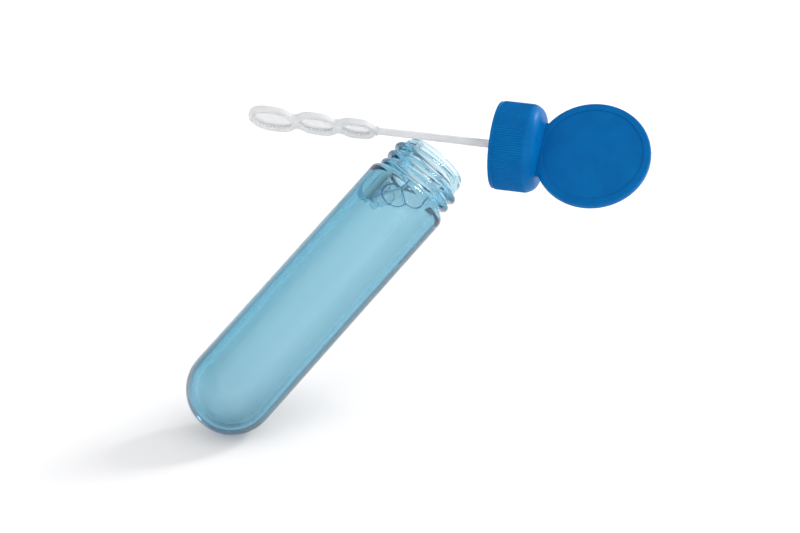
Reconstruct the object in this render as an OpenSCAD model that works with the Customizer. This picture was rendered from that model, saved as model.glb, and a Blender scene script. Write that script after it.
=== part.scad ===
// Bubble wand: a leaning screw-neck tube of bubble liquid, with its screw cap and wand taken off.
// Millimetres. +Z is up, the tube leans towards +X, and the origin is on the tube's axis at its grip.

/* [Tube] */
// Outside diameter of the tube's straight wall
body_d = 30.2; // [28:0.1:34]
// Length of the tube from its round bottom to its lip
tube_len = 118.5; // [105:0.5:132]
// Length of the neck above the shoulder
neck_len = 13.8; // [12.5:0.1:18]
// Outside diameter of the neck at the root of its thread
neck_d = 23.6; // [22.6:0.1:24.4]
// Diameter of the bore in the neck
bore_d = 17.2; // [16:0.1:18.6]
// Depth of the neck's own bore, where the core of the mould is straight
bore_len = 7.5; // [5:0.5:8]
// How much narrower the long cavity below is, so that the core draws out
core_step = 0.2; // [0.1:0.05:0.6]
// Thickness of the round bottom on the axis
bottom_wall = 6.5; // [4:0.5:8]
// Rounding of the shoulder's outer edge
shoulder_r = 3; // [1:0.25:4]
// Height of the plain lip above the thread
lip_len = 1.9; // [1:0.1:2.6]
// How far the lip stands back from the neck's diameter
lip_step = 0.75; // [0.3:0.05:1]
// Rounding of the lip's outer edge
lip_r = 0.6; // [0.2:0.1:1]
// Diameter of the gate mark's dimple in the round bottom
gate_d = 7.4; // [4:0.2:9]
// Depth of the gate mark's dimple
gate_depth = 0.8; // [0.3:0.1:1.2]

/* [Thread] */
// Rise of the thread in one turn
thread_pitch = 3.7; // [3.4:0.1:4.2]
// Height of the neck's thread above its root
thread_depth = 2; // [1.2:0.1:2.2]
// Width of a thread ridge at its foot
ridge_foot = 2.6; // [1.6:0.1:2.8]
// Width of a thread ridge at its crest
ridge_crest = 0.9; // [0.4:0.1:1]
// Height above the shoulder at which the neck's thread begins
thread_start = 0.1; // [0:0.1:1.5]
// Plain wall left between the last ridge and the lip or the seal liner
thread_margin = 0.2; // [0.1:0.05:1]
// Direction in which the neck's thread begins
thread_angle = 50; // [0:5:355]
// Radial room between the two threads
thread_clear = 0.35; // [0.25:0.05:0.5]

/* [Cap] */
// Wall of the cap's skirt outside its thread
cap_wall = 1.25; // [1:0.05:3]
// Thickness of the cap's top
cap_top = 1.6; // [1.2:0.1:3]
// Gap left between the closed cap and the tube's shoulder
cap_gap = 0.7; // [0.4:0.1:2]
// Rounding of the cap's top edge
cap_edge_r = 4; // [2.5:0.1:4.5]
// Plain band at the cap's open end
band_h = 1.1; // [0.6:0.1:2]
// Spacing of the grip ribs round the cap
rib_pitch = 0.85; // [0.7:0.05:1.4]
// Height of the grip ribs
rib_depth = 0.25; // [0.15:0.05:0.35]
// Thickness of the seal liner
liner_t = 0.9; // [0.6:0.1:1.4]
// Room round the seal liner
liner_clear = 0.3; // [0.2:0.05:0.4]

/* [Paddle] */
// Diameter of the paddle
paddle_d = 40; // [34:0.5:46]
// Thickness of the paddle at its rim
paddle_t = 2.8; // [2.4:0.1:4]
// Width of the paddle's raised rim
paddle_rim = 2.6; // [1.5:0.1:4]
// Depth of the recess in each face
recess_depth = 0.45; // [0.2:0.05:0.7]
// Rounding of the rim's edges
paddle_edge_r = 0.7; // [0.3:0.1:1]
// How far the paddle's circle sinks into the cap's top
paddle_sink = 2; // [0.8:0.1:3]
// Width of the paddle's foot where it meets the cap
foot_w = 20.4; // [16:0.2:21]

/* [Wand] */
// Diameter of the stem in the cap's socket
stem_d = 2.9; // [2.4:0.1:3.4]
// Diameter of the stem where the rings begin
stem_tip_d = 2.6; // [2:0.1:2.8]
// How far the wand reaches out of the cap's open end
wand_reach = 90.5; // [80:0.5:94]
// Room between the largest ring and the tube's bore
ring_clear = 1.3; // [1:0.1:2]
// How much narrower each ring is than the one below it
ring_taper = 1.8; // [1:0.1:2]
// How much longer than wide each ring is
ring_stretch = 3.2; // [2:0.1:4]
// Width of the rings' walls
ring_wall = 1.7; // [1.4:0.1:2]
// Thickness of the rings
ring_t = 2.6; // [2:0.1:3.4]
// Overlap of each ring with the next
ring_overlap = 0.6; // [0.4:0.1:1]
// Rounding of the hollows between the rings
waist_r = 1.6; // [1:0.1:2]
// Spacing of the teeth inside the rings
tooth_pitch = 1; // [0.8:0.1:1.4]
// Height of the teeth inside the rings
tooth_depth = 0.35; // [0.2:0.05:0.5]
// Wall of the socket that holds the stem
socket_wall = 1.75; // [1.2:0.05:2.5]
// Length of the socket below the cap's top
socket_len = 5; // [3:0.5:7]
// Radial room of the stem in its socket
stem_clear = 0.02; // [0.01:0.01:0.05]

/* [Contents] */
// Distance along the axis from the bottom to where the liquid's surface crosses it
fill_len = 100; // [60:0.5:100]
// Room between the liquid and the tube's cavity
film_gap = 0.05; // [0.03:0.01:0.1]
// Radius of the largest bubble
bubble_r = 3.8; // [3:0.1:4.4]
// Radius of the two loose small bubbles
small_bubble_r = 1.2; // [1:0.1:1.6]
// Mean radius of the bubbles in the fine foam
foam_r = 0.9; // [0.7:0.05:1]
// Bubbles in the fine foam
foam_count = 18; // [6:1:24]

/* [Placement] */
// Rise of the leaning tube's axis above the level
tube_rise = 38.4; // [32:0.1:50]
// Distance from the bottom to the grip, where the origin is
grip_len = 60; // [50:1:66]
// Place of the cap's open end beyond the tube's mouth, along X
cap_dx = 31.6; // [28:0.1:60]
// Place of the cap's open end beyond the tube's mouth, along Y
cap_dy = 9.4; // [3:0.1:30]
// Place of the cap's open end above the tube's mouth
cap_dz = -2.9; // [-5:0.1:20]
// Heading of the cap's axis, from its open end to its paddle
cap_heading = -48.9; // [-70:0.1:-40]
// Rise of the cap's axis, from its open end to its paddle
cap_rise = -1.8; // [-6:0.1:6]
// Turn of the cap about its own axis
cap_roll = 42.9; // [0:0.1:90]

/* [Hidden] */
$fn = 96;
eps = 0.01;
big = 400;

// Tube
body_r = body_d / 2;
neck_r = neck_d / 2;
bore_r = bore_d / 2;
cavity_r = bore_r - core_step;
lip_outer_r = neck_r - lip_step;
lip_edge_r = min(lip_r, lip_len - 0.2, lip_outer_r - bore_r - 0.4);
shoulder_z = tube_len - neck_len;
shoulder_edge_r = min(shoulder_r, body_r - neck_r - 0.3);
gate_r = gate_d / 2;
// Sphere whose cap is the gate mark's dimple
gate_sphere_r = (gate_r * gate_r + gate_depth * gate_depth) / (2 * gate_depth);

// Thread: it runs from the shoulder to the lip, and each end dives into the wall over part of a turn
thread_steps = 28;
thread_embed = 0.4;
thread_fade = 0.3;
thread_dive = 0.15;
thread_turns = (neck_len - lip_len - thread_margin - ridge_foot / 2 - thread_start) / thread_pitch;

// Cap: its skirt goes round the neck's thread, and its length follows the neck's
cap_bore_r = neck_r + thread_depth + thread_clear;
cap_thread_depth = thread_depth - thread_clear;
cap_core_r = cap_bore_r + cap_wall - rib_depth;
cap_depth = neck_len - cap_gap + liner_t;
cap_h = cap_depth + cap_top;
cap_edge = min(cap_edge_r, cap_h - band_h - 2);
rib_count = round(2 * PI * cap_core_r / rib_pitch);
// The cap's thread lies midway between the neck's ridges when the cap is closed
cap_thread_start = thread_start - cap_gap + thread_pitch * 1.5;
cap_thread_end = cap_depth - liner_t - thread_margin - ridge_foot / 2;
cap_turns = (cap_thread_end - cap_thread_start) / thread_pitch;
liner_seat = 0.02;

// Paddle, which stands on the cap's top in the plane of its axis
paddle_r = paddle_d / 2;
paddle_z = cap_h + paddle_r - paddle_sink;
foot_top = paddle_z - sqrt(paddle_r * paddle_r - foot_w * foot_w / 4);
recess_r = paddle_r - paddle_rim;

// Wand, from the tip upwards
stem_r = stem_d / 2;
socket_r = stem_r + stem_clear;
socket_outer_r = socket_r + socket_wall;
socket_z = cap_depth - socket_len;
ring_count = 3;
function ring_w(i) = bore_d - 2 * ring_clear - i * ring_taper;
function ring_len(i) = ring_w(i) + ring_stretch;
function ring_low(i) = i == 0 ? -wand_reach : ring_low(i - 1) + ring_len(i - 1) - ring_overlap;
rings_top = ring_low(ring_count - 1) + ring_len(ring_count - 1);

// Contents: the surface is level, so its height follows from where it crosses the leaning axis
axis_dir = [cos(tube_rise), 0, sin(tube_rise)];
mouth = (tube_len - grip_len) * axis_dir;
surface = (fill_len - grip_len) * axis_dir;
// Half length of the surface along the lean
surface_half = cavity_r / sin(tube_rise);
// Each large bubble: place along the lean, place across, height over the surface, radius
large = [
    [-0.05 * surface_half, -0.72 * cavity_r, 0.82 * bubble_r, bubble_r],
    [-0.39 * surface_half, -0.47 * cavity_r, 0.72 * bubble_r, bubble_r],
    [-0.1 * surface_half, 0.5 * cavity_r, 0.55 * bubble_r, bubble_r],
    [-0.42 * surface_half, 0.2 * cavity_r, 0.3 * bubble_r, 0.85 * bubble_r],
    [-0.87 * surface_half, -0.25 * cavity_r, -0.3, small_bubble_r],
    [-0.73 * surface_half, -0.41 * cavity_r, 0.5, small_bubble_r],
];
// The foam clings to the upper wall from the surface upwards, each bubble a golden turn from the last
foam_z = fill_len - cavity_r / tan(tube_rise) + 2.8 * foam_r;
foam_turn = 165;
golden = 137.5;
function foam_at(i) = foam_r * 0.95 * sqrt(i) * [0.8 * cos(i * golden), 1.25 * sin(i * golden)];

// Places children from the tube's own frame, with Z from the bottom to the lip
module on_tube() {
    rotate([0, 90 - tube_rise, 0]) translate([0, 0, -grip_len]) children();
}

// Places children from the cap's own frame, with Z from the open end to the paddle
module on_cap() {
    translate(mouth + [cap_dx, cap_dy, cap_dz])
        rotate([0, 90 - cap_rise, cap_heading])
            rotate([0, 0, cap_roll])
                children();
}

// Points of one ridge section: radius and height, with the foot sunk into the wall
function ridge(root, depth, side, fade) = [
    [root - side * thread_embed, -ridge_foot / 2],
    [root + side * depth * fade * 0.55, -(ridge_foot + ridge_crest) / 4],
    [root + side * depth * fade, -ridge_crest / 2],
    [root + side * depth * fade, ridge_crest / 2],
    [root + side * depth * fade * 0.55, (ridge_foot + ridge_crest) / 4],
    [root - side * thread_embed, ridge_foot / 2],
];

// A right-hand helical ridge on a wall of radius root: side is 1 outwards and -1 inwards
module helix(root, depth, turns, side) {
    steps = ceil(turns * thread_steps);
    run = thread_fade * thread_steps;
    m = 6;
    points = [
        for (i = [0 : steps])
            let (a = 360 * turns * i / steps, near = min(i, steps - i) / run)
            let (fade = min(1, (1 + thread_dive) * near - thread_dive))
                for (p = ridge(root, depth, side, fade))
                    [p[0] * cos(a), p[0] * sin(a), p[1] + thread_pitch * a / 360]
    ];
    sides = [
        for (i = [0 : steps - 1], j = [0 : m - 1])
            let (k = (j + 1) % m, a = i * m + j, b = i * m + k, c = a + m, d = b + m)
                each (side > 0 ? [[a, b, d], [a, d, c]] : [[a, d, b], [a, c, d]])
    ];
    start = [for (j = [0 : m - 1]) side > 0 ? m - 1 - j : j];
    end = [for (j = [0 : m - 1]) steps * m + (side > 0 ? j : m - 1 - j)];
    polyhedron(points, concat(sides, [start, end]));
}

// Half outline of the tube's outside, on the right of its axis
module tube_outline() {
    intersection() {
        translate([0, body_r]) circle(body_r);
        square([body_r, body_r]);
    }
    translate([0, body_r]) square([body_r, shoulder_z - shoulder_edge_r - body_r]);
    translate([0, shoulder_z - shoulder_edge_r])
        square([body_r - shoulder_edge_r, shoulder_edge_r]);
    intersection() {
        translate([body_r - shoulder_edge_r, shoulder_z - shoulder_edge_r]) circle(shoulder_edge_r);
        translate([body_r - shoulder_edge_r, shoulder_z - shoulder_edge_r])
            square([shoulder_edge_r, shoulder_edge_r]);
    }
    translate([0, shoulder_z]) square([neck_r, neck_len - lip_len]);
    translate([0, tube_len - lip_len]) square([lip_outer_r, lip_len - lip_edge_r]);
    translate([0, tube_len - lip_edge_r]) square([lip_outer_r - lip_edge_r, lip_edge_r]);
    intersection() {
        translate([lip_outer_r - lip_edge_r, tube_len - lip_edge_r]) circle(lip_edge_r);
        translate([lip_outer_r - lip_edge_r, tube_len - lip_edge_r]) square([lip_edge_r, lip_edge_r]);
    }
}

// Half outline of the tube's cavity below the neck's bore, made smaller all round by inset
module cavity_outline(inset) {
    r = cavity_r - inset;
    low = bottom_wall + cavity_r;
    intersection() {
        translate([0, low]) circle(r);
        translate([0, low - r]) square([r, r]);
    }
    translate([0, low]) square([r, tube_len - bore_len - low]);
}

// Everything that is lower than the liquid's surface, raised by lift
module below_surface(lift) {
    translate([-big / 2, -big / 2, surface[2] + lift - big]) cube([big, big, big]);
}

// The solid that fills the cavity and the neck's bore, made smaller all round by inset and longer by over
module cavity_fill(inset, over) {
    on_tube() {
        rotate_extrude() cavity_outline(inset);
        translate([0, 0, tube_len - bore_len - 1]) cylinder(r = cavity_r - inset, h = bore_len + over);
    }
}

module tube() {
    color("lightskyblue", 0.5)
        on_tube()
            difference() {
                union() {
                    rotate_extrude() tube_outline();
                    translate([0, 0, shoulder_z + thread_start])
                        rotate([0, 0, thread_angle])
                            helix(neck_r, thread_depth, thread_turns, 1);
                }
                rotate_extrude() cavity_outline(0);
                translate([0, 0, tube_len - bore_len]) cylinder(r = bore_r, h = bore_len + 1);
                translate([0, 0, gate_depth - gate_sphere_r]) sphere(gate_sphere_r);
            }
}

// A bubble's sphere at its place on the surface, made larger all round by swell
module bubble(b, swell) {
    translate(surface + [b[0], b[1], b[2]]) sphere(b[3] + swell);
}

// A foam bubble's sphere at its place on the upper wall
module foam_bubble(i) {
    p = foam_at(i);
    on_tube()
        rotate([0, 0, foam_turn + p[0] / cavity_r * 180 / PI])
            translate([cavity_r - foam_r * 1.15 - 2 * film_gap, 0, foam_z + p[1]])
                sphere(foam_r * (0.85 + 0.3 * (i % 2)));
}

module bubble_liquid() {
    color("powderblue", 0.5)
        difference() {
            intersection() {
                cavity_fill(film_gap, 0);
                below_surface(0);
            }
            for (b = large) bubble(b, film_gap);
        }
}

module large_bubbles() {
    color("aliceblue", 0.5)
        intersection() {
            cavity_fill(2 * film_gap, 4 * bubble_r);
            union() for (b = large) bubble(b, 0);
        }
}

module fine_foam() {
    color("azure", 0.6)
        difference() {
            for (i = [0 : foam_count - 1]) foam_bubble(i);
            below_surface(film_gap);
            for (b = large) bubble(b, film_gap);
        }
}

// Half outline of the cap's outside, with its rounded top edge
module cap_outline() {
    square([cap_core_r, cap_h - cap_edge]);
    translate([0, cap_h - cap_edge]) square([cap_core_r - cap_edge, cap_edge]);
    intersection() {
        translate([cap_core_r - cap_edge, cap_h - cap_edge]) circle(cap_edge);
        translate([cap_core_r - cap_edge, cap_h - cap_edge]) square([cap_edge, cap_edge]);
    }
}

// Outline of the ribbed skirt: a tooth and a groove for each rib
module rib_outline() {
    step = 360 / rib_count;
    polygon([
        for (i = [0 : rib_count - 1], q = [[0, 0], [0.25, 1], [0.55, 1], [0.8, 0]])
            let (a = (i + q[0]) * step, r = cap_core_r - 0.05 + q[1] * (rib_depth + 0.05))
                [r * cos(a), r * sin(a)]
    ]);
}

// Half outline of the paddle about its own centre: a rim with rounded edges round a thinner web
module paddle_outline() {
    half = paddle_t / 2;
    web = half - recess_depth;
    translate([0, -web]) square([recess_r, 2 * web]);
    translate([recess_r, -half]) square([paddle_rim - paddle_edge_r, paddle_t]);
    translate([paddle_r - paddle_edge_r, -half + paddle_edge_r])
        square([paddle_edge_r, paddle_t - 2 * paddle_edge_r]);
    for (s = [-1, 1])
        intersection() {
            translate([paddle_r - paddle_edge_r, s * (half - paddle_edge_r)]) circle(paddle_edge_r);
            translate([paddle_r - paddle_edge_r, s > 0 ? half - paddle_edge_r : -half])
                square([paddle_edge_r, paddle_edge_r]);
        }
}

// The paddle stands in the plane of the cap's axis, on a foot as thick as its rim
module paddle() {
    translate([0, 0, paddle_z]) rotate([0, 90, 0]) rotate_extrude() paddle_outline();
    difference() {
        translate([-paddle_t / 2, -foot_w / 2, cap_h - 0.5])
            cube([paddle_t, foot_w, foot_top - cap_h + 0.5]);
        translate([-paddle_t, 0, paddle_z]) rotate([0, 90, 0]) cylinder(r = recess_r, h = 2 * paddle_t);
    }
}

module cap() {
    color("steelblue")
        on_cap() {
            difference() {
                union() {
                    rotate_extrude() cap_outline();
                    translate([0, 0, band_h])
                        linear_extrude(cap_h - cap_edge - band_h) rib_outline();
                    paddle();
                }
                translate([0, 0, -1]) cylinder(r = cap_bore_r, h = cap_depth + 1);
                translate([0, 0, socket_z]) cylinder(r = socket_r, h = cap_h - cap_top / 2 - socket_z);
            }
            translate([0, 0, cap_thread_start])
                rotate([0, 0, thread_angle])
                    helix(cap_bore_r, cap_thread_depth, cap_turns, -1);
            difference() {
                translate([0, 0, socket_z]) cylinder(r = socket_outer_r, h = socket_len + eps);
                translate([0, 0, socket_z - 1]) cylinder(r = socket_r, h = socket_len + 2);
            }
        }
}

module seal_liner() {
    color("whitesmoke")
        on_cap()
            translate([0, 0, cap_depth - liner_t])
                difference() {
                    cylinder(r = cap_bore_r - liner_clear, h = liner_t - liner_seat);
                    translate([0, 0, -1])
                        cylinder(r = socket_outer_r + liner_clear, h = liner_t + 2);
                }
}

// A long ring's outline: two half circles joined by straight sides
module ring_outline(i) {
    r = ring_w(i) / 2;
    for (s = [-1, 1]) translate([0, s * ring_stretch / 2]) circle(r);
    square([2 * r, ring_stretch], center = true);
}

// Point of a ring's toothed opening, at the angle a round it
function tooth_point(i, a, lift) =
    let (r = ring_w(i) / 2 - ring_wall + tooth_depth - lift)
        [r * cos(a), r * sin(a) + (sin(a) > 0 ? 0.5 : -0.5) * ring_stretch];

// A ring's opening, with teeth that point inwards
module ring_opening(i) {
    r = ring_w(i) / 2 - ring_wall;
    teeth = 2 * round((PI * r + ring_stretch) / tooth_pitch);
    step = 360 / teeth;
    polygon([
        for (k = [0 : teeth - 1], q = [[0.02, 0], [0.35, 0], [0.5, 1], [0.85, 1]])
            tooth_point(i, (k + q[0]) * step, q[1] * tooth_depth)
    ]);
}

// Places children at the middle of ring i
module at_ring(i) {
    translate([0, ring_low(i) + ring_len(i) / 2]) children();
}

module wand() {
    color("gainsboro")
        on_cap() {
            rotate([90, 0, 0])
                linear_extrude(ring_t, center = true)
                    difference() {
                        offset(r = -waist_r)
                            offset(r = waist_r)
                                union() {
                                    for (i = [0 : ring_count - 1]) at_ring(i) ring_outline(i);
                                    translate([-stem_tip_d / 2, rings_top - 1])
                                        square([stem_tip_d, 3]);
                                }
                        for (i = [0 : ring_count - 1]) at_ring(i) ring_opening(i);
                    }
            translate([0, 0, rings_top - ring_wall / 2])
                cylinder(r1 = stem_tip_d / 2, r2 = stem_r, h = socket_z - rings_top + ring_wall / 2);
            translate([0, 0, socket_z - eps])
                cylinder(r = stem_r, h = cap_h - cap_top / 2 - socket_z - 0.1);
        }
}

tube();
bubble_liquid();
large_bubbles();
fine_foam();
cap();
seal_liner();
wand();
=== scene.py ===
# Looks of the bubble wand: an open tube of bubble liquid beside its screw cap, which holds the wand.
# Sizes are in millimetres, in the tube's or the cap's own frame, and become metres in the shared one.
import math
import random

import bmesh
import bpy
import numpy as np
from mathutils import Matrix, Vector
from mathutils.geometry import tessellate_polygon


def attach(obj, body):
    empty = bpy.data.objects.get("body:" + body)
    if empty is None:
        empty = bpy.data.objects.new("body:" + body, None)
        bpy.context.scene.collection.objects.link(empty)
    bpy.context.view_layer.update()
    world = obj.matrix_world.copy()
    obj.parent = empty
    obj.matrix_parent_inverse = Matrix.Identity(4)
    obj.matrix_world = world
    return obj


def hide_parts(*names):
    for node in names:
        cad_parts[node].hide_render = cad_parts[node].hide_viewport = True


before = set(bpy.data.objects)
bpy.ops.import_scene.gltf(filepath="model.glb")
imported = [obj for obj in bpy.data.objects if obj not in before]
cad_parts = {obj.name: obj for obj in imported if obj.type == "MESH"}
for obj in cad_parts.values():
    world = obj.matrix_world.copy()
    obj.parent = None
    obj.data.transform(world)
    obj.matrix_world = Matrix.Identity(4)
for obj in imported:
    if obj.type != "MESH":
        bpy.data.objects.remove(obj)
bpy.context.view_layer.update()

MM = 0.001
# Smaller than any feature, for telling one surface from another
HAIR = 0.01

# Tube
BODY_R = 15.1
TUBE_LEN = 118.5
SHOULDER_Z = 104.7
SHOULDER_R = 3.0
SHOULDER_SWEEP = 84
SHOULDER_DROP = 0.02
NECK_R = 11.8
NECK_FOOT_R = 0.35
LIP_R = 11.05
LIP_LEN = 1.9
LIP_EDGE_R = 0.6
LIP_BEVEL = (0.2, 0.15)
BORE_R = 8.6
BORE_LEN = 7.5
BORE_EDGE_R = 0.3
BORE_STEP = 0.15
CAVITY_R = 8.4
BOTTOM_WALL = 6.5
GATE_R = 3.7
GATE_DEPTH = 0.8
GATE_FLATTER = 2.0
GATE_SOFT = 0.12

# Thread on the neck and in the cap
PITCH = 3.7
RIDGE_HALF = 1.5
RIDGE_FLATNESS = 2.6
RIDGE_FULLNESS = 0.8
THREAD_DEPTH = 2.0
THREAD_START = 0.1
THREAD_ANGLE = math.radians(50)
THREAD_TURNS = 2.73
THREAD_FADE = 0.3
THREAD_MARGIN = (0.05, 0.3)

# Cap and paddle
CAP_R = 15.15
CAP_H = 15.6
CAP_BORE_R = 14.15
CAP_DEPTH = 14.0
CAP_EDGE_R = 4.0
CAP_EDGE_LEAD = 0.5
CAP_RIM_R = 0.25
CAP_CHAMFER = (0.25, 0.3)
CEILING_EDGE_R = 0.6
BAND_H = 1.1
BAND_EDGE = 0.05
RIB_COUNT = 112
RIB_DEPTH = 0.25
RIB_RISE = 0.25
RIB_REACH = 1.6
RIB_RUNOUT = 1.8
RIB_FULLNESS = 0.7
CAP_THREAD_DEPTH = 1.65
CAP_THREAD_START = 4.95
CAP_THREAD_TURNS = 1.82
SOCKET_Z = 9.0
SOCKET_R = 1.47
SOCKET_OUTER_R = 3.22
SOCKET_FOOT_R = 0.4
SOCKET_EDGE_R = 0.3
SOCKET_SHOWN = 2
PADDLE_R = 20.0
PADDLE_Z = 33.6
PADDLE_HALF = 1.4
PADDLE_WEB = 0.95
PADDLE_EDGE = 0.7
RECESS_R = 17.4
RECESS_EDGE = 0.2
WEB_BITE = 0.3
FOOT_HALF = 10.2
FOOT_SINK = 0.6

# Wand
STEM_R = 1.45
STEM_TIP_R = 1.3
STEM_SINK = 0.9
STEM_COVER = 1.0
# Each point of the stem's hidden end: share of the tip's radius, and height
STEM_NOSE = ((0.0, 0.0), (0.8, 0.1), (1.0, 0.5))
RING_RADII = (7.3, 6.4, 5.5)
RING_CENTRES = (-81.6, -65.3, -50.8)
RING_STRETCH = 3.2
RING_WALL = 1.7
RING_HALF = 1.3
RING_EDGE = 0.7
RINGS_TOP = -43.7
WAIST_R = 1.6
OPENING_EDGE = 0.55
OPENING_SLOPE = 2.5
TOOTH_DEPTH = 0.35
TOOTH_PITCH = 1.0
TOOTH_LOSS = 0.75
# Grey sheets across the rings' openings, which are painted shade: how far each reaches into its ring, and
# how far it bulges
RING_SHADE_SHEET_BITE = 0.1
RING_SHADE_SHEET_BULGE = 0.25

# Liquid
TUBE_RISE = math.radians(38.4)
GRIP_LEN = 60.0
FILL_LEN = 100.0
MENISCUS = 1.9
MENISCUS_REACH = 0.8
LIQUID_SINK = 0.05

# Each bubble: offset of its centre from the middle of the surface, and radius
BUBBLES = (
    (-0.68, -6.05, 3.12, 3.8),
    (-5.27, -3.95, 2.74, 3.8),
    (-1.35, 4.2, 2.09, 3.8),
    (-5.68, 1.68, 1.14, 3.23),
)
SMALL_BUBBLES = ((-11.77, -2.1, -0.3, 1.2), (-9.87, -3.44, 0.5, 1.2))
WALL_BORDER = 0.19
FILM_BORDER = 0.07
FILM_GAP = 0.02
FILM_DIP = 0.3
CORD_DIP = 0.06
CORD_REACH = CAVITY_R - WALL_BORDER * 0.8

# Foam
FOAM_SEED = 7
FOAM_COUNT = 120
FOAM_TRIES = 6000
FOAM_RADII = (0.25, 0.3, 0.4, 0.5, 0.7)
FOAM_Z = 92.4
FOAM_TURN = math.radians(154)
FOAM_WIDTH = 1.8
FOAM_LENGTH = 2.3
FOAM_DEPTH = 1.4
FOAM_DIP = 0.5
FOAM_SQUEEZE = 0.86
FOAM_BITE = 0.7

# Where the tube and the cap lie
CAP_OFFSET = Vector((31.6, 9.4, -2.9))
CAP_HEADING = math.radians(-48.9)
CAP_TILT = math.radians(91.8)
CAP_SPIN = math.radians(42.9)
ON_TUBE = Matrix.Rotation(math.pi / 2 - TUBE_RISE, 4, "Y") @ Matrix.Translation((0, 0, -GRIP_LEN))
MOUTH = ON_TUBE @ Vector((0, 0, TUBE_LEN))
ON_CAP = (
    Matrix.Translation(MOUTH + CAP_OFFSET)
    @ Matrix.Rotation(CAP_HEADING, 4, "Z")
    @ Matrix.Rotation(CAP_TILT, 4, "Y")
    @ Matrix.Rotation(CAP_SPIN, 4, "Z")
)
SURFACE = ON_TUBE @ Vector((0, 0, FILL_LEN))
IN_TUBE = ON_TUBE.inverted()
BALLS = [(IN_TUBE @ (SURFACE + Vector(b[:3])), b[3]) for b in BUBBLES]
SMALL_BALLS = [(IN_TUBE @ (SURFACE + Vector(b[:3])), b[3]) for b in SMALL_BUBBLES]
# A point outside the cavity, which ends a run of points along its wall
OUTSIDE = Vector((99, 0, 0))

# Studio
FLOOR_Z = (ON_TUBE @ Vector((0, 0, BODY_R))).z - BODY_R
FLOOR_HALF = 3.0
LIGHT_AIM = Vector((0.035, 0.0, 0.0))
VIEW_AZIMUTH = math.radians(-33.5)
VIEW_ELEVATION = math.radians(21)
VIEW_TARGET = Vector((23.14, -11.672, 6.56))
VIEW_DISTANCE = 795.5

# Materials
WATER_IOR = 1.33
# The middle range of a noise texture
TEXTURE_SPAN = (0.3, 0.7)
# Light that is kept up in clear pieces, after this many turns inside them or this many steps in all
KEPT_COLOR = (0.35, 0.72, 0.95)
KEPT_STRENGTH = 0.17
GLOSSY_LIMIT = 1.5
RAY_LIMIT = 11.5


def add_to_scene(obj):
    """Links an object into the scene and gives it back."""
    bpy.context.scene.collection.objects.link(obj)
    return obj


def add_part(bm, verts, faces):
    """Adds vertices, and faces that name them by number."""
    made = [bm.verts.new(v) for v in verts]
    for face in faces:
        bm.faces.new([made[i] for i in face])


def link_mesh(name, bm, material):
    """A mesh object in the scene, from a bmesh that it frees."""
    mesh = bpy.data.meshes.new(name)
    bm.to_mesh(mesh)
    bm.free()
    mesh.materials.append(material)
    return add_to_scene(bpy.data.objects.new(name, mesh))


def shade_smooth(bm):
    """Makes all faces shade smoothly."""
    for face in bm.faces:
        face.smooth = True


def make_object(name, parts, place, material):
    """One mesh object from (vertices, faces) parts in a local frame in millimetres."""
    bm = bmesh.new()
    for verts, faces in parts:
        add_part(bm, [place @ Vector(v) * MM for v in verts], faces)
    bmesh.ops.recalc_face_normals(bm, faces=bm.faces)
    shade_smooth(bm)
    return link_mesh(name, bm, material)


def sharpen(obj, degrees):
    """Keeps edges steeper than an angle crisp while the rest shades smoothly."""
    limit = math.radians(degrees)
    bm = bmesh.new()
    bm.from_mesh(obj.data)
    for edge in bm.edges:
        if len(edge.link_faces) == 2 and edge.calc_face_angle() > limit:
            edge.smooth = False
    bm.to_mesh(obj.data)
    bm.free()


def arc(cx, cy, r, start, end, steps):
    """Points of an arc about (cx, cy), with angles in degrees."""
    angles = [math.radians(start + (end - start) * i / steps) for i in range(steps + 1)]
    return [(cx + r * math.cos(a), cy + r * math.sin(a)) for a in angles]


def line(start, end, steps):
    """Points between two ends, without the first one."""
    return [
        tuple(a + (b - a) * i / steps for a, b in zip(start, end))
        for i in range(1, steps + 1)
    ]


def go_straight(profile, end, steps):
    """Carries a profile on in a straight line."""
    profile += line(profile[-1], end, steps)


def go_round(profile, centre, r, start, end, steps):
    """Carries a profile on along an arc that starts where it ends."""
    profile += arc(*centre, r, start, end, steps)[1:]


def bridge(low, high):
    """Faces between two rings of points, in which a pole is one point repeated."""
    faces = []
    for i in range(len(low)):
        j = (i + 1) % len(low)
        corners = dict.fromkeys((low[i], low[j], high[j], high[i]))
        faces.append(tuple(corners))
    return faces


def skin(rings):
    """Faces that join each ring of points to the next."""
    return [face for low, high in zip(rings, rings[1:]) for face in bridge(low, high)]


def revolve(profile, steps, shape=None):
    """Turns (radius, height) points about z. A radius of 0 makes a pole; shape may change a radius."""
    verts, rings = [], []
    for r, z in profile:
        if r < 1e-9:
            rings.append([len(verts)] * steps)
            verts.append((0, 0, z))
            continue
        rings.append(range(len(verts), len(verts) + steps))
        for i in range(steps):
            a = 2 * math.pi * i / steps
            q = shape(r, z, a) if shape else r
            verts.append((q * math.cos(a), q * math.sin(a), z))
    return verts, skin(rings)


def ridge(angle, height, start, turns):
    """How far a helical ridge stands at a place on its wall, from 0 to 1."""
    best = 0.0
    base = (angle - THREAD_ANGLE) / (2 * math.pi)
    for k in range(-1, math.ceil(turns) + 2):
        turn = base + k
        if not 0 < turn < turns:
            continue
        off = abs(height - start - PITCH * turn) / RIDGE_HALF
        if off < 1:
            fade = min(1.0, min(turn, turns - turn) / THREAD_FADE)
            fade = fade * fade * (3 - 2 * fade)
            best = max(best, fade * (1 - off**RIDGE_FLATNESS) ** RIDGE_FULLNESS)
    return best


def bevel_rings(edge, steps):
    """(inset, height drop) pairs of a rounded edge, from the side to the face."""
    angles = [math.pi / 2 * i / steps for i in range(steps + 1)]
    return [(edge * (1 - math.cos(a)), edge * (1 - math.sin(a))) for a in angles]


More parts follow.
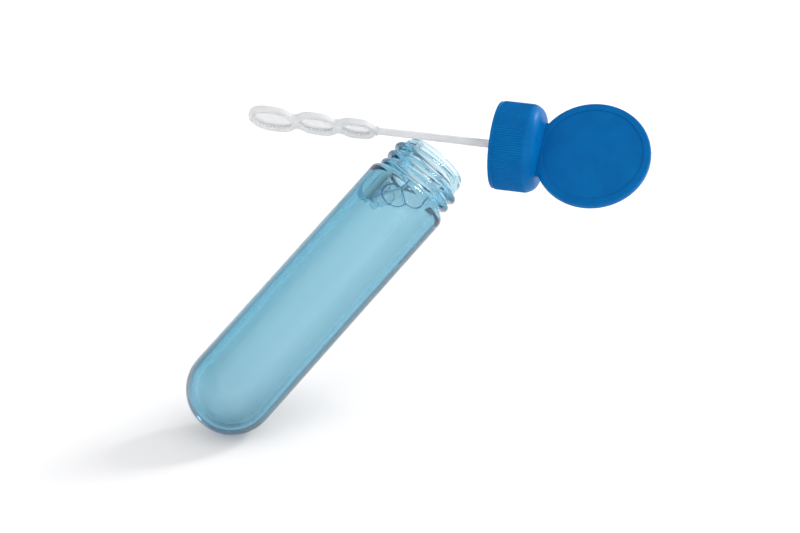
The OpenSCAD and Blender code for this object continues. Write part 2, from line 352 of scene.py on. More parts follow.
def inset_outline(points, inset):
    """A closed counter-clockwise outline moved inwards along its normals."""
    p = np.array(points)
    t = np.roll(p, -1, axis=0) - np.roll(p, 1, axis=0)
    t /= np.linalg.norm(t, axis=1)[:, None]
    return p + inset * np.column_stack((-t[:, 1], t[:, 0]))


def plate(outlines, half, edges, steps=5):
    """A flat plate with rounded edges. outlines gives, for each loop, the points at an inset."""
    verts, faces, tops, bottoms = [], [], [], []
    for outline, edge in zip(outlines, edges):
        rounding = bevel_rings(edge, steps)
        levels = [(inset, -half + drop) for inset, drop in reversed(rounding)]
        levels += [(inset, half - drop) for inset, drop in rounding]
        loops = []
        for inset, z in levels:
            points = outline(inset)
            loops.append(range(len(verts), len(verts) + len(points)))
            verts += [(u, v, z) for u, v in points]
        faces += skin(loops)
        bottoms.append(loops[0])
        tops.append(loops[-1])
    for loops in (tops, bottoms):
        flat = [index for loop in loops for index in loop]
        triangles = tessellate_polygon([[Vector(verts[i]) for i in loop] for loop in loops])
        faces += [tuple(flat[i] for i in triangle) for triangle in triangles]
    return verts, faces


def node_material(name, color, build):
    """A material whose nodes are made by build(nodes, link, shader, output)."""
    material = bpy.data.materials.new(name)
    material.use_nodes = True
    nodes = material.node_tree.nodes
    link = material.node_tree.links.new
    shader = nodes["Principled BSDF"]
    shader.inputs["Base Color"].default_value = (*color, 1)
    build(nodes, link, shader, nodes["Material Output"])
    return material


def noise(nodes, link, scale, detail, stretch=None):
    """A noise texture in object coordinates, in waves per metre."""
    place = nodes.new("ShaderNodeTexCoord").outputs["Object"]
    texture = nodes.new("ShaderNodeTexNoise")
    texture.inputs["Scale"].default_value = scale
    texture.inputs["Detail"].default_value = detail
    if stretch:
        mapping = nodes.new("ShaderNodeMapping")
        mapping.inputs["Scale"].default_value = stretch
        link(place, mapping.inputs["Vector"])
        place = mapping.outputs["Vector"]
    link(place, texture.inputs["Vector"])
    return texture.outputs["Fac"]


def spread(nodes, link, value, low, high):
    """Maps a texture's middle range to low..high."""
    node = nodes.new("ShaderNodeMapRange")
    node.inputs["From Min"].default_value = TEXTURE_SPAN[0]
    node.inputs["From Max"].default_value = TEXTURE_SPAN[1]
    node.inputs["To Min"].default_value = low
    node.inputs["To Max"].default_value = high
    link(value, node.inputs["Value"])
    return node.outputs["Result"]


def tint(nodes, link, value, first, second, span=TEXTURE_SPAN):
    """Blends two colours while a value goes through a span."""
    node = nodes.new("ShaderNodeValToRGB")
    for element, position, color in zip(node.color_ramp.elements, span, (first, second)):
        element.position = position
        element.color = (*color, 1)
    link(value, node.inputs["Fac"])
    return node.outputs["Color"]


def bump(nodes, link, value, shader, distance, strength):
    """Adds fine relief, in metres, to a shader's normal."""
    node = nodes.new("ShaderNodeBump")
    node.inputs["Strength"].default_value = strength
    node.inputs["Distance"].default_value = distance
    link(value, node.inputs["Height"])
    link(node.outputs["Normal"], shader.inputs["Normal"])


def absorb(nodes, link, output, color, density):
    """Colours light by how far it travels inside the piece."""
    volume = nodes.new("ShaderNodeVolumeAbsorption")
    volume.inputs["Color"].default_value = (*color, 1)
    volume.inputs["Density"].default_value = density
    link(volume.outputs["Volume"], output.inputs["Volume"])


def work_out(nodes, link, operation, first, second):
    """A value from one output and a second output or a plain number."""
    node = nodes.new("ShaderNodeMath")
    node.operation = operation
    link(first, node.inputs[0])
    if isinstance(second, float):
        node.inputs[1].default_value = second
    else:
        link(second, node.inputs[1])
    return node.outputs["Value"]


def keep_light(nodes, link, shader, color, strength):
    """Stands in for light that goes round inside clear pieces more often than is traced."""
    path = nodes.new("ShaderNodeLightPath").outputs
    turned = work_out(nodes, link, "GREATER_THAN", path["Glossy Depth"], GLOSSY_LIMIT)
    ended = work_out(nodes, link, "GREATER_THAN", path["Ray Depth"], RAY_LIMIT)
    either = work_out(nodes, link, "MAXIMUM", turned, ended)
    level = work_out(nodes, link, "MULTIPLY", either, strength)
    shader.inputs["Emission Color"].default_value = (*color, 1)
    shader.inputs["Emission Strength"].default_value = 0.0
    link(level, shader.inputs["Emission Strength"])
    return level


def seen(nodes, link, lighting, shown):
    """A strength for light on surfaces, and another for what is seen directly or in glass and gloss."""
    path = nodes.new("ShaderNodeLightPath").outputs
    direct = work_out(nodes, link, "MAXIMUM", path["Is Camera Ray"], path["Is Glossy Ray"])
    either = work_out(nodes, link, "MAXIMUM", direct, path["Is Transmission Ray"])
    strength = nodes.new("ShaderNodeMapRange")
    strength.inputs["To Min"].default_value = lighting
    strength.inputs["To Max"].default_value = shown
    link(either, strength.inputs["Value"])
    return strength.outputs["Result"]


def clear_blue(nodes, link, shader, output):
    """Clear blue moulded plastic: slight flow lines and a few soft scuffs."""
    shader.inputs["Transmission Weight"].default_value = 1.0
    shader.inputs["IOR"].default_value = 1.57
    scuffs = noise(nodes, link, scale=900, detail=3)
    link(spread(nodes, link, scuffs, low=0.0, high=0.05), shader.inputs["Roughness"])
    flow = noise(nodes, link, scale=60, detail=2)
    bump(nodes, link, flow, shader, distance=0.00004, strength=0.5)
    absorb(nodes, link, output, color=(0.2, 0.61, 0.72), density=118.0)
    keep_light(nodes, link, shader, KEPT_COLOR, KEPT_STRENGTH)


def soapy_water(nodes, link, shader, output):
    """Thin blue bubble liquid with hardly any ripple."""
    shader.inputs["Transmission Weight"].default_value = 1.0
    shader.inputs["IOR"].default_value = WATER_IOR
    shader.inputs["Roughness"].default_value = 0.0
    ripple = noise(nodes, link, scale=90, detail=1)
    bump(nodes, link, ripple, shader, distance=0.00002, strength=0.3)
    absorb(nodes, link, output, color=(0.55, 0.85, 0.92), density=3.0)
    keep_light(nodes, link, shader, KEPT_COLOR, KEPT_STRENGTH)


def soap_film(nodes, link, shader, output):
    """Thin wet film: nearly clear, with faint drainage streaks in its gloss."""
    shader.inputs["Alpha"].default_value = 0.12
    shader.inputs["IOR"].default_value = WATER_IOR
    streaks = noise(nodes, link, scale=500, detail=3, stretch=(1, 1, 0.4))
    link(spread(nodes, link, streaks, low=0.02, high=0.12), shader.inputs["Roughness"])


def ring_shade_sheet(nodes, link, shader, output):
    """A grey, half-clear sheet: painted shade that greys what is seen through the rings' openings, with
    slow swirls in its gloss.
    """
    shader.inputs["Alpha"].default_value = 0.45
    shader.inputs["IOR"].default_value = WATER_IOR
    swirls = noise(nodes, link, scale=260, detail=3)
    grey = tint(nodes, link, swirls, (0.46, 0.48, 0.5), (0.56, 0.58, 0.6))
    link(grey, shader.inputs["Base Color"])
    link(spread(nodes, link, swirls, low=0.05, high=0.2), shader.inputs["Roughness"])


def foam_water(nodes, link, shader, output):
    """Clear liquid, for the fine foam and, in a deeper tint that is painted shade, for the seams between
    the films.
    """
    shader.inputs["Transmission Weight"].default_value = 1.0
    shader.inputs["IOR"].default_value = WATER_IOR
    streaks = noise(nodes, link, scale=500, detail=3)
    link(spread(nodes, link, streaks, low=0.0, high=0.03), shader.inputs["Roughness"])


def blue_plastic(nodes, link, shader, output):
    """Opaque blue moulded plastic: fine grain and a slightly uneven gloss."""
    cloud = noise(nodes, link, scale=120, detail=5)
    blue = tint(nodes, link, cloud, (0.0, 0.125, 0.385), (0.0, 0.15, 0.43))
    link(blue, shader.inputs["Base Color"])
    shader.inputs["IOR"].default_value = 1.49
    shader.inputs["Specular IOR Level"].default_value = 0.07
    gloss = noise(nodes, link, scale=700, detail=4)
    link(spread(nodes, link, gloss, low=0.3, high=0.42), shader.inputs["Roughness"])
    grain = noise(nodes, link, scale=2600, detail=4)
    bump(nodes, link, grain, shader, distance=0.00003, strength=0.35)


def milky_plastic(nodes, link, shader, output):
    """Translucent white moulded plastic with cloudy flow marks."""
    cloud = noise(nodes, link, scale=250, detail=4)
    white = tint(nodes, link, cloud, (0.88, 0.885, 0.89), (0.94, 0.943, 0.945))
    link(white, shader.inputs["Base Color"])
    shader.inputs["IOR"].default_value = 1.3
    shader.inputs["Specular IOR Level"].default_value = 0.3
    shader.inputs["Transmission Weight"].default_value = 0.3
    gloss = noise(nodes, link, scale=800, detail=3)
    link(spread(nodes, link, gloss, low=0.3, high=0.42), shader.inputs["Roughness"])


def foam_sheet(nodes, link, shader, output):
    """White foamed sheet with tiny pits."""
    cells = noise(nodes, link, scale=1800, detail=5)
    white = tint(nodes, link, cells, (0.72, 0.72, 0.71), (0.84, 0.84, 0.83))
    link(white, shader.inputs["Base Color"])
    gloss = noise(nodes, link, scale=500, detail=2)
    link(spread(nodes, link, gloss, low=0.55, high=0.75), shader.inputs["Roughness"])
    bump(nodes, link, cells, shader, distance=0.00008, strength=0.6)


def pale_floor(nodes, link, shader, output):
    """Matt white that looks a little brighter than it lights the object."""
    shader.inputs["Roughness"].default_value = 0.9
    shader.inputs["Specular IOR Level"].default_value = 0.0
    kept = keep_light(nodes, link, shader, color=(1, 1, 1), strength=0.9)
    glow = seen(nodes, link, lighting=0.0, shown=0.2)
    link(work_out(nodes, link, "MAXIMUM", kept, glow), shader.inputs["Emission Strength"])


CLEAR_BLUE = node_material("clear_blue_plastic", (0.97, 0.99, 1.0), clear_blue)
LIQUID = node_material("bubble_liquid", (0.99, 1.0, 1.0), soapy_water)
SOAP_FILM = node_material("soap_film", (0.75, 0.88, 0.95), soap_film)
# A grey sheet in each ring's opening: painted shade
RING_SHADE_SHEET = node_material("ring_shade_sheet", (0.51, 0.53, 0.55), ring_shade_sheet)
FOAM_WATER = node_material("foam_water", (0.72, 0.87, 0.94), foam_water)
# The seams are liquid; their deep blue tint is painted shade for the dark lines they show
SEAM_WATER_PAINTED_SHADE = node_material("seam_water_painted_shade", (0.12, 0.36, 0.54), foam_water)
BLUE = node_material("blue_moulded_plastic", (0.0, 0.14, 0.41), blue_plastic)
MILKY = node_material("milky_moulded_plastic", (0.91, 0.914, 0.918), milky_plastic)
LINER = node_material("liner_foam", (0.8, 0.8, 0.79), foam_sheet)
PALE_FLOOR = node_material("pale_floor", (0.85, 0.85, 0.85), pale_floor)


def finish_piece(obj, node, body):
    """Puts a piece in the place of its solid."""
    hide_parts(node)
    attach(obj, body)


def dimpled(r, z):
    """Height of the tube's round bottom at a radius, with the gate's dimple blended in."""
    gate_r = (GATE_R**2 + GATE_DEPTH**2) / (2 * GATE_DEPTH) + GATE_FLATTER
    dimple = 0
    if r < GATE_R * 2:
        dimple = GATE_DEPTH - gate_r + math.sqrt(max(gate_r**2 - r**2, 0))
    if dimple - z < -GATE_SOFT:
        return z
    return (z + dimple + math.hypot(z - dimple, GATE_SOFT)) / 2


def make_tube():
    """The clear moulding, outside and inside as one closed surface."""
    low_edge = SHOULDER_Z - SHOULDER_R
    foot = NECK_R + NECK_FOOT_R
    neck_top = TUBE_LEN - LIP_LEN
    lip_edge = TUBE_LEN - LIP_EDGE_R
    bore_edge = BORE_R + BORE_EDGE_R
    bore_end = TUBE_LEN - BORE_LEN
    cavity_z = BOTTOM_WALL + CAVITY_R

    profile = [(r, dimpled(r, z)) for r, z in arc(0, BODY_R, BODY_R, start=-90, end=0, steps=48)]
    go_straight(profile, (BODY_R, low_edge), steps=30)
    corner = (BODY_R - SHOULDER_R, low_edge)
    go_round(profile, corner, SHOULDER_R, start=0, end=SHOULDER_SWEEP, steps=14)
    go_straight(profile, (foot, SHOULDER_Z - SHOULDER_DROP), steps=2)
    go_round(profile, (foot, SHOULDER_Z + NECK_FOOT_R), NECK_FOOT_R, start=-90, end=-180, steps=5)
    go_straight(profile, (NECK_R, neck_top - LIP_BEVEL[0]), steps=140)
    go_straight(profile, (LIP_R, neck_top + LIP_BEVEL[1]), steps=4)
    go_straight(profile, (LIP_R, lip_edge), steps=4)
    go_round(profile, (LIP_R - LIP_EDGE_R, lip_edge), LIP_EDGE_R, start=0, end=90, steps=8)
    go_straight(profile, (bore_edge, TUBE_LEN), steps=3)
    corner = (bore_edge, TUBE_LEN - BORE_EDGE_R)
    go_round(profile, corner, BORE_EDGE_R, start=90, end=180, steps=5)
    go_straight(profile, (BORE_R, bore_end + BORE_STEP), steps=10)
    go_straight(profile, (CAVITY_R, bore_end - BORE_STEP), steps=3)
    go_straight(profile, (CAVITY_R, cavity_z), steps=40)
    go_round(profile, (0, cavity_z), CAVITY_R, start=0, end=-90, steps=32)

    thread_low = SHOULDER_Z - THREAD_MARGIN[0]
    thread_high = neck_top + THREAD_MARGIN[1]

    def threaded(r, z, a):
        if not thread_low < z < thread_high or r < LIP_R - HAIR:
            return r
        stand = THREAD_DEPTH * ridge(a, z, SHOULDER_Z + THREAD_START, THREAD_TURNS)
        return max(r, NECK_R + stand) if stand > 0 else r

    obj = make_object("tube_moulding", [revolve(profile, 220, threaded)], ON_TUBE, CLEAR_BLUE)
    finish_piece(obj, "tube", "tube")


def surface_height(x, y):
    """Top of the liquid in the tube's frame: level, drawn up at the wall, pressed down by bubbles."""
    rise = MENISCUS * math.exp(-(CAVITY_R - math.hypot(x, y)) / MENISCUS_REACH)
    z = FILL_LEN + x / math.tan(TUBE_RISE) + rise
    for centre, r in BALLS + SMALL_BALLS:
        room = r * r - (x - centre.x) ** 2 - (y - centre.y) ** 2
        if room > 0:
            z = min(z, centre.z - math.sqrt(room))
    return z


def make_liquid():
    """The liquid: wall, round bottom and a level top with a meniscus and a dent under each bubble."""
    steps, top_rows, wall_rows, bottom_rows = 240, 70, 30, 24
    # Rows of the top crowd together towards the wall
    crowd = 1.15
    radius = CAVITY_R + LIQUID_SINK
    low = BOTTOM_WALL + CAVITY_R
    verts, rings = [], []

    def add_ring(points):
        start = len(verts)
        verts.extend(points)
        rings.append(range(start, len(verts)) if len(points) > 1 else [start] * steps)

    add_ring([(0, 0, surface_height(0, 0))])
    for row in range(1, top_rows + 1):
        rho = radius * (1 - (1 - row / top_rows) ** crowd)
        spots = [(rho * math.cos(a), rho * math.sin(a))
                 for a in (2 * math.pi * i / steps for i in range(steps))]
        add_ring([(x, y, surface_height(x, y)) for x, y in spots])
    brim = [verts[i] for i in rings[-1]]
    for row in range(1, wall_rows + 1):
        add_ring([(x, y, z + (low - z) * row / wall_rows) for x, y, z in brim])
    for row in range(1, bottom_rows):
        a = math.pi / 2 * row / bottom_rows
        drop = low - radius * math.sin(a)
        add_ring([(x * math.cos(a), y * math.cos(a), drop) for x, y, z in brim])
    add_ring([(0, 0, low - radius)])
    obj = make_object("liquid_body", [(verts, skin(rings))], ON_TUBE, LIQUID)
    finish_piece(obj, "bubble_liquid", "tube")


def radical_plane(ball, other):
    """(point, normal) of the plane in which two bubbles' spheres meet, or None if they lie apart."""
    gap = other[0] - ball[0]
    if gap.length >= ball[1] + other[1]:
        return None
    along = (gap.length_squared + ball[1] ** 2 - other[1] ** 2) / (2 * gap.length)
    return ball[0] + gap.normalized() * along, gap.normalized()


def cut_by_others(bm, ball, spared):
    """Removes what lies beyond the planes in which a bubble meets the others, but for those spared."""
    for other in BALLS:
        plane = None if other in spared else radical_plane(ball, other)
        if plane:
            geom = bm.verts[:] + bm.edges[:] + bm.faces[:]
            point, normal = plane
            bmesh.ops.bisect_plane(bm, geom=geom, plane_co=point, plane_no=normal, clear_outer=True)


def trim(bm, settle):
    """Removes a film's part outside the cavity or in the liquid, and draws its edge to the wall."""
    limit = CAVITY_R - FILM_GAP
    rounds = 12
    sunk = [v for v in bm.verts if v.co.z < surface_height(v.co.x, v.co.y) - FILM_DIP]
    bmesh.ops.delete(bm, geom=sunk, context="VERTS")
    outside = {v for v in bm.verts if math.hypot(v.co.x, v.co.y) > limit}
    edge = {v for v in outside if any(e.other_vert(v) not in outside for e in v.link_edges)}
    for v in edge:
        for _ in range(rounds):
            pull = limit / math.hypot(v.co.x, v.co.y)
            v.co = settle(Vector((v.co.x * pull, v.co.y * pull, v.co.z)))
    bmesh.ops.delete(bm, geom=[v for v in outside if v not in edge], context="VERTS")


def free_runs(points, spared):
    """Splits points into runs in the cavity, above the liquid and outside all bubbles but the spared."""
    others = [ball for ball in BALLS if ball not in spared]
    shortest = 4
    runs = [[]]
    for p in points:
        in_tube = math.hypot(p.x, p.y) < CAVITY_R
        open_air = in_tube and p.z > surface_height(p.x, p.y) - CORD_DIP
        if open_air and all((p - c).length > r - FILM_GAP for c, r in others):
            runs[-1].append(p)
        elif runs[-1]:
            runs.append([])
    return [run for run in runs if len(run) >= shortest]


def cord(points, r):
    """A thin round thread of liquid along some points."""
    verts, rings, side, sides = [], [], None, 8
    last = len(points) - 1
    for i, p in enumerate(points):
        way = (points[min(i + 1, last)] - points[max(i - 1, 0)]).normalized()
        side = (way.orthogonal() if side is None else side - way * side.dot(way)).normalized()
        over = way.cross(side)
        rings.append(range(len(verts), len(verts) + sides))
        for k in range(sides):
            a = 2 * math.pi * k / sides
            verts.append(p + r * (side * math.cos(a) + over * math.sin(a)))
    return verts, skin(rings) + [tuple(rings[0]), tuple(rings[-1])]


def wall_curve(ball):
    """Closed curve in which a bubble's sphere meets the tube's wall."""
    centre, r = ball
    steps = 160
    out = math.hypot(centre.x, centre.y)
    middle = math.atan2(centre.y, centre.x)
    lean = (out * out + CORD_REACH * CORD_REACH - r * r) / (2 * out * CORD_REACH)
    if lean >= 1:
        return []
    half = math.acos(max(lean, -1))
    points = []
    for i in range(steps + 1):
        t = 2 * math.pi * i / steps
        a = middle + half * math.cos(t)
        x, y = CORD_REACH * math.cos(a), CORD_REACH * math.sin(a)
        room = r * r - (x - centre.x) ** 2 - (y - centre.y) ** 2
        rise = math.copysign(math.sqrt(max(room, 0)), math.sin(t))
        points.append(Vector((x, y, centre.z + rise)))
    return points


def wall_seam(plane, radius):
    """Curve in which the flat film between two bubbles meets the tube's wall, unless it runs along it."""
    point, normal = plane
    least_tilt = 0.02
    if abs(normal.z) <= least_tilt:
        return []
    seam = []
    for x, y in arc(0, 0, CORD_REACH, start=0, end=360, steps=720):
        z = point.z - (normal.x * (x - point.x) + normal.y * (y - point.y)) / normal.z
        spot = Vector((x, y, z))
        seam.append(spot if (spot - point).length < radius else OUTSIDE)
    return seam


def film_dome(ball):
    """A bubble's sphere, cut where others meet it, and a function that puts a point back on it."""
    centre, r = ball
    dome = bmesh.new()
    place = Matrix.Translation(centre)
    bmesh.ops.create_icosphere(dome, subdivisions=5, radius=r, matrix=place)
    cut_by_others(dome, ball, [ball])
    return dome, lambda p: centre + (p - centre).normalized() * r


def film_wall(ball, other, plane):
    """The flat film between two bubbles, a function that puts a point back on it, and its seams."""
    point, normal = plane
    pair = [ball, other]
    radius = math.sqrt(ball[1] * ball[1] - (point - ball[0]).length_squared)
    turn = Matrix.Translation(point) @ normal.to_track_quat("Z", "Y").to_matrix().to_4x4()
    rows = 20
    verts, faces = revolve([(radius * j / rows, 0) for j in range(rows + 1)], 90)
    wall = bmesh.new()
    add_part(wall, [turn @ Vector(v) for v in verts], faces)
    cut_by_others(wall, ball, pair)
    circle = [turn @ Vector((*p, 0)) for p in arc(0, 0, radius, start=0, end=360, steps=120)]
    seams = [cord(run, FILM_BORDER) for run in free_runs(circle, pair)]
    seams += [cord(run, WALL_BORDER) for run in free_runs(wall_seam(plane, radius), pair)]
    return wall, lambda p: p - normal * (p - point).dot(normal), seams


def join(bm, patch):
    """Adds one bmesh to another and frees it."""
    mesh = bpy.data.meshes.new("patch")
    patch.to_mesh(mesh)
    patch.free()
    bm.from_mesh(mesh)
    bpy.data.meshes.remove(mesh)


def make_bubbles():
    """Films that float on the liquid: domes that meet in flat walls, with liquid along every seam."""
    films = bmesh.new()
    cords = []
    for i, ball in enumerate(BALLS):
        patches = [film_dome(ball)]
        cords += [cord(run, WALL_BORDER) for run in free_runs(wall_curve(ball), [ball])]
        for other in BALLS[i + 1:]:
            plane = radical_plane(ball, other)
            if plane:
                wall, settle, seams = film_wall(ball, other, plane)
                patches.append((wall, settle))
                cords += seams
        for patch, settle in patches:
            trim(patch, settle)
            join(films, patch)
    films.verts.index_update()
    verts = [tuple(v.co) for v in films.verts]
    faces = [tuple(v.index for v in face.verts) for face in films.faces]
    films.free()
    obj = make_object("bubble_films", [(verts, faces)] + cords, ON_TUBE, SOAP_FILM)
    # The seams take the deep tint, which is painted shade
    obj.data.materials.append(SEAM_WATER_PAINTED_SHADE)
    for polygon in obj.data.polygons[len(faces):]:
        polygon.material_index = 1
    finish_piece(obj, "large_bubbles", "tube")


def place_foam():
    """(centre, radius) of the foam's bubbles, which lie near the wall, overlap little and stay afloat."""
    rng = random.Random(FOAM_SEED)
    placed = []
    for _ in range(FOAM_TRIES):
        if len(placed) == FOAM_COUNT:
            break
        r = rng.choice(FOAM_RADII)
        across, along = rng.gauss(0, FOAM_WIDTH), rng.gauss(0, FOAM_LENGTH)
        depth = rng.random() ** 2 * FOAM_DEPTH
        a = FOAM_TURN + across / CAVITY_R
        reach = CAVITY_R - r - FILM_GAP - depth
        spot = ON_TUBE @ Vector((reach * math.cos(a), reach * math.sin(a), FOAM_Z + along))
        off = spot - SURFACE
        if off.z < -FOAM_DIP:
            continue
        if any((spot - p).length < FOAM_SQUEEZE * (r + q) for p, q in placed):
            continue
        if any((off - Vector(b[:3])).length < b[3] + r * FOAM_BITE for b in BUBBLES):
            continue
        placed.append((spot, r))
    return placed + [(SURFACE + Vector(b[:3]), b[3]) for b in SMALL_BUBBLES]


def make_foam():
    """Small bubbles against the upper wall and at the edge of the liquid."""
    bm = bmesh.new()
    for spot, r in place_foam():
        place = Matrix.Translation(spot * MM)
        bmesh.ops.create_icosphere(bm, subdivisions=3, radius=r * MM, matrix=place)
    shade_smooth(bm)
    obj = link_mesh("foam_bubbles", bm, FOAM_WATER)
    finish_piece(obj, "fine_foam", "tube")


def paddle_outline(inset):
    """Points round the paddle and its foot, moved inwards by inset."""
    r, half = PADDLE_R - inset, FOOT_HALF - inset
    start = math.degrees(math.asin(half / r)) - 90
    points = arc(0, PADDLE_Z, r, start, 180 - start, steps=150)
    return points + [(-half, CAP_H - FOOT_SINK), (half, CAP_H - FOOT_SINK)]


def recess_outline(inset):
    """Points round the paddle's recess, where inset eats into the rim."""
    return arc(0, PADDLE_Z, RECESS_R + inset, start=0, end=360, steps=140)[:-1]


def make_paddle():
    """The paddle's rim with its foot, and the web that closes the rim."""
    rim_verts, rim_faces = plate(
        (paddle_outline, recess_outline), PADDLE_HALF, (PADDLE_EDGE, RECESS_EDGE)
    )
    web_r = RECESS_R + WEB_BITE
    web = [(0, PADDLE_WEB), (web_r, PADDLE_WEB), (web_r, -PADDLE_WEB), (0, -PADDLE_WEB)]
    web_verts, web_faces = revolve(web, 140)
    return [
        ([(w, u, v) for u, v, w in rim_verts], rim_faces),
        ([(z, y, PADDLE_Z - x) for x, y, z in web_verts], web_faces),
    ]


def cap_outside():
    """The cap's outer surface, from the bore's mouth over the ribs to the top."""
    edge_z = CAP_H - CAP_EDGE_R
    profile = [(CAP_BORE_R + CAP_CHAMFER[0], 0.0)]
    go_straight(profile, (CAP_R - CAP_RIM_R, 0.0), steps=2)
    go_round(profile, (CAP_R - CAP_RIM_R, CAP_RIM_R), CAP_RIM_R, start=-90, end=0, steps=5)
    go_straight(profile, (CAP_R, BAND_H - BAND_EDGE), steps=3)
    go_straight(profile, (CAP_R, BAND_H + RIB_RISE), steps=4)
    go_straight(profile, (CAP_R, edge_z - CAP_EDGE_LEAD), steps=8)
    profile += arc(CAP_R - CAP_EDGE_R, edge_z, CAP_EDGE_R, start=-4, end=90, steps=26)
    go_straight(profile, (0, CAP_H), steps=6)

    def ribbed(r, z, a):
        low = min(max((z - BAND_H) / RIB_RISE, 0), 1)
        high = min(max((edge_z + RIB_REACH - z) / RIB_RUNOUT, 0), 1)
        tooth = 0.5 + 0.5 * math.cos(RIB_COUNT * a)
        return r + RIB_DEPTH * low * high * tooth**RIB_FULLNESS

    return revolve(profile, RIB_COUNT * 6, ribbed)


def cap_inside():
    """The cap's inner surface, with its thread and the socket for the stem."""
    corner = (CAP_BORE_R - CEILING_EDGE_R, CAP_DEPTH - CEILING_EDGE_R)
    foot = SOCKET_OUTER_R + SOCKET_FOOT_R
    socket_edge = (SOCKET_OUTER_R - SOCKET_EDGE_R, SOCKET_Z + SOCKET_EDGE_R)
    profile = [(CAP_BORE_R + CAP_CHAMFER[0], 0.0), (CAP_BORE_R, CAP_CHAMFER[1])]
    go_straight(profile, (CAP_BORE_R, corner[1]), steps=110)
    go_round(profile, corner, CEILING_EDGE_R, start=0, end=90, steps=6)
    go_straight(profile, (foot, CAP_DEPTH), steps=5)
    go_round(profile, (foot, CAP_DEPTH - SOCKET_FOOT_R), SOCKET_FOOT_R, start=90, end=180, steps=4)
    go_straight(profile, (SOCKET_OUTER_R, socket_edge[1]), steps=5)
    go_round(profile, socket_edge, SOCKET_EDGE_R, start=0, end=-90, steps=4)
    go_straight(profile, (SOCKET_R, SOCKET_Z), steps=2)
    go_straight(profile, (SOCKET_R, SOCKET_Z + SOCKET_SHOWN), steps=2)

    def threaded(r, z, a):
        if r < CAP_BORE_R - HAIR:
            return r
        return r - CAP_THREAD_DEPTH * ridge(a, z, CAP_THREAD_START, CAP_THREAD_TURNS)

    return revolve(profile, 180, threaded)


def make_cap():
    """The ribbed screw cap with its thread and socket, and the paddle on its top."""
    parts = [cap_outside(), cap_inside()] + make_paddle()
    obj = make_object("cap_moulding", parts, ON_CAP, BLUE)
    sharpen(obj, degrees=40)
    finish_piece(obj, "cap", "cap")


def ring_chain(inset):
    """Outline of the three rings and the start of the stem, moved inwards by inset."""
    half = RING_STRETCH / 2
    side = []
    entry = -90.0
    for i, (r, c) in enumerate(zip(RING_RADII, RING_CENTRES)):
        side += arc(0, c - half, r, entry, end=0, steps=28)
        top = c + half
        if i < 2:
            r2, low2 = RING_RADII[i + 1], RING_CENTRES[i + 1] - half
            a, b, d = r + WAIST_R, r2 + WAIST_R, low2 - top
            rise = (a * a - b * b + d * d) / (2 * d)
            out = math.sqrt(a * a - rise * rise)
            leave = math.degrees(math.atan2(rise, out))
            entry = math.degrees(math.atan2(rise - d, out))
            side += arc(0, top, r, 0, leave, steps=28)
            side += arc(out, top + rise, WAIST_R, 180 + leave, 180 + entry, steps=12)[1:-1]
        else:
            out = STEM_TIP_R + WAIST_R
            rise = math.sqrt((r + WAIST_R) ** 2 - out**2)
            leave = math.degrees(math.atan2(rise, out))
            side += arc(0, top, r, 0, leave, steps=28)
            side += arc(out, top + rise, WAIST_R, 180 + leave, 180, steps=12)[1:]
    other = [(-x, y) for x, y in reversed(side[1:])]
    return [tuple(p) for p in inset_outline(side + other, inset)]


def ring_opening(i):
    """A function that gives the toothed opening of ring i, where inset eats into the ring."""
    r = RING_RADII[i] - RING_WALL
    teeth = 2 * round((math.pi * r + RING_STRETCH) / TOOTH_PITCH)
    steps = teeth * 8

    def outline(inset):
        height = TOOTH_DEPTH * (1 - TOOTH_LOSS * min(inset / OPENING_EDGE, 1))
        points = []
        for k in range(steps):
            a = 2 * math.pi * k / steps
            q = r + inset - height * (0.5 + 0.5 * math.cos(teeth * a))
            shift = max(-1, min(1, OPENING_SLOPE * math.sin(a))) * RING_STRETCH / 2
            points.append((q * math.cos(a), RING_CENTRES[i] + shift + q * math.sin(a)))
        return points

    return outline


def make_wand():
    """Three toothed rings in a row on a tapered stem."""
    openings = [ring_opening(i) for i in range(3)]
    verts, faces = plate([ring_chain] + openings, RING_HALF, [RING_EDGE] + [OPENING_EDGE] * 3)
    rings = [(u, -w, v) for u, v, w in verts], faces
    start, end = RINGS_TOP - STEM_SINK, CAP_H - STEM_COVER
    stem = [(STEM_TIP_R * share, start + rise) for share, rise in STEM_NOSE]
    go_straight(stem, (STEM_R, SOCKET_Z), steps=30)
    go_straight(stem, (STEM_R, end), steps=4)
    stem.append((0, end))
    obj = make_object("wand_moulding", [rings, revolve(stem, 48)], ON_CAP, MILKY)
    sharpen(obj, degrees=45)
    finish_piece(obj, "wand", "cap")


def make_ring_shade_sheets():
    """Grey sheets across the three rings' openings: painted shade over what is seen through them."""
    rows = 6
    parts = []
    for i, centre in enumerate(RING_CENTRES):
        loop = ring_opening(i)(RING_SHADE_SHEET_BITE)
        n = len(loop)
        middle = Vector((0, centre))
        verts, rings = [(0, 0, centre)], [[0] * n]
        for k in range(1, rows + 1):
            rings.append(range(len(verts), len(verts) + n))
            for point in loop:
                spot = middle.lerp(Vector(point), k / rows)
                verts.append((spot.x, RING_SHADE_SHEET_BULGE * (1 - (k / rows) ** 2), spot.y))
        parts.append((verts, skin(rings)))
    obj = make_object("ring_shade_sheets", parts, ON_CAP, RING_SHADE_SHEET)
    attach(obj, "cap")


def make_floor():
    """A pale floor that keeps the object's shadow."""
    bm = bmesh.new()
    bmesh.ops.create_grid(bm, x_segments=2, y_segments=2, size=FLOOR_HALF)
    for v in bm.verts:
        v.co.z = FLOOR_Z * MM
    floor = link_mesh("floor", bm, PALE_FLOOR)


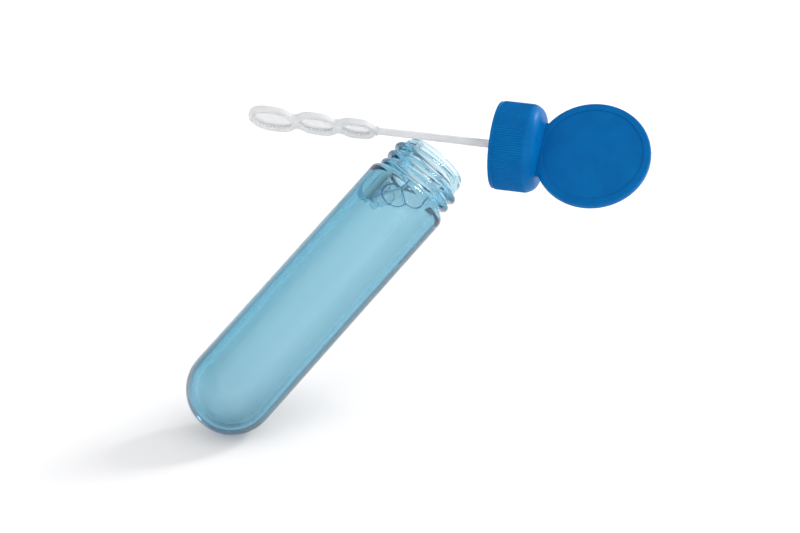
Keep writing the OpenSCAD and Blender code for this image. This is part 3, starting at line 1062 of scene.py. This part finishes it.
def make_world():
    """A studio that is white round the horizon and dimmer overhead."""
    world = bpy.data.worlds.new("studio")
    bpy.context.scene.world = world
    world.use_nodes = True
    nodes = world.node_tree.nodes
    link = world.node_tree.links.new
    background = nodes["Background"]
    place = nodes.new("ShaderNodeTexCoord")
    split = nodes.new("ShaderNodeSeparateXYZ")
    link(place.outputs["Generated"], split.inputs["Vector"])
    sky = tint(nodes, link, split.outputs["Z"], (1, 1, 1), (0.3, 0.3, 0.31), span=(0.1, 0.65))
    link(sky, background.inputs["Color"])
    link(seen(nodes, link, lighting=1.35, shown=1.0), background.inputs["Strength"])


def add_light(name, direction, distance, size, power):
    """A soft square lamp that faces the middle of the object, in metres and watts."""
    data = bpy.data.lights.new(name, "AREA")
    data.size = size
    data.energy = power
    lamp = add_to_scene(bpy.data.objects.new(name, data))
    way = Vector(direction).normalized()
    lamp.location = LIGHT_AIM + way * distance
    lamp.rotation_euler = way.to_track_quat("Z", "Y").to_euler()


def make_camera():
    """The photograph's viewpoint."""
    back = Vector((
        math.sin(VIEW_AZIMUTH) * math.cos(VIEW_ELEVATION),
        -math.cos(VIEW_AZIMUTH) * math.cos(VIEW_ELEVATION),
        math.sin(VIEW_ELEVATION),
    ))
    data = bpy.data.cameras.new("camera")
    data.sensor_width = 36
    data.sensor_fit = "HORIZONTAL"
    data.lens = 108
    data.clip_start = 0.01
    camera = add_to_scene(bpy.data.objects.new("camera", data))
    camera.location = (VIEW_TARGET + VIEW_DISTANCE * back) * MM
    camera.rotation_euler = back.to_track_quat("Z", "Y").to_euler()
    bpy.context.scene.camera = camera


make_camera()
make_tube()
make_liquid()
make_bubbles()
make_foam()
make_cap()
make_wand()
# Painted shade in the rings' openings
make_ring_shade_sheets()
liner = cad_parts["seal_liner"]
liner.data.materials.clear()
liner.data.materials.append(LINER)
make_floor()
make_world()
add_light("key", direction=(0.85, -0.02, 0.525), distance=3.0, size=0.75, power=60.0)
add_light("fill", direction=(-0.3, -0.8, 0.9), distance=2.5, size=4.5, power=35.0)
bpy.context.scene.view_settings.view_transform = "Standard"
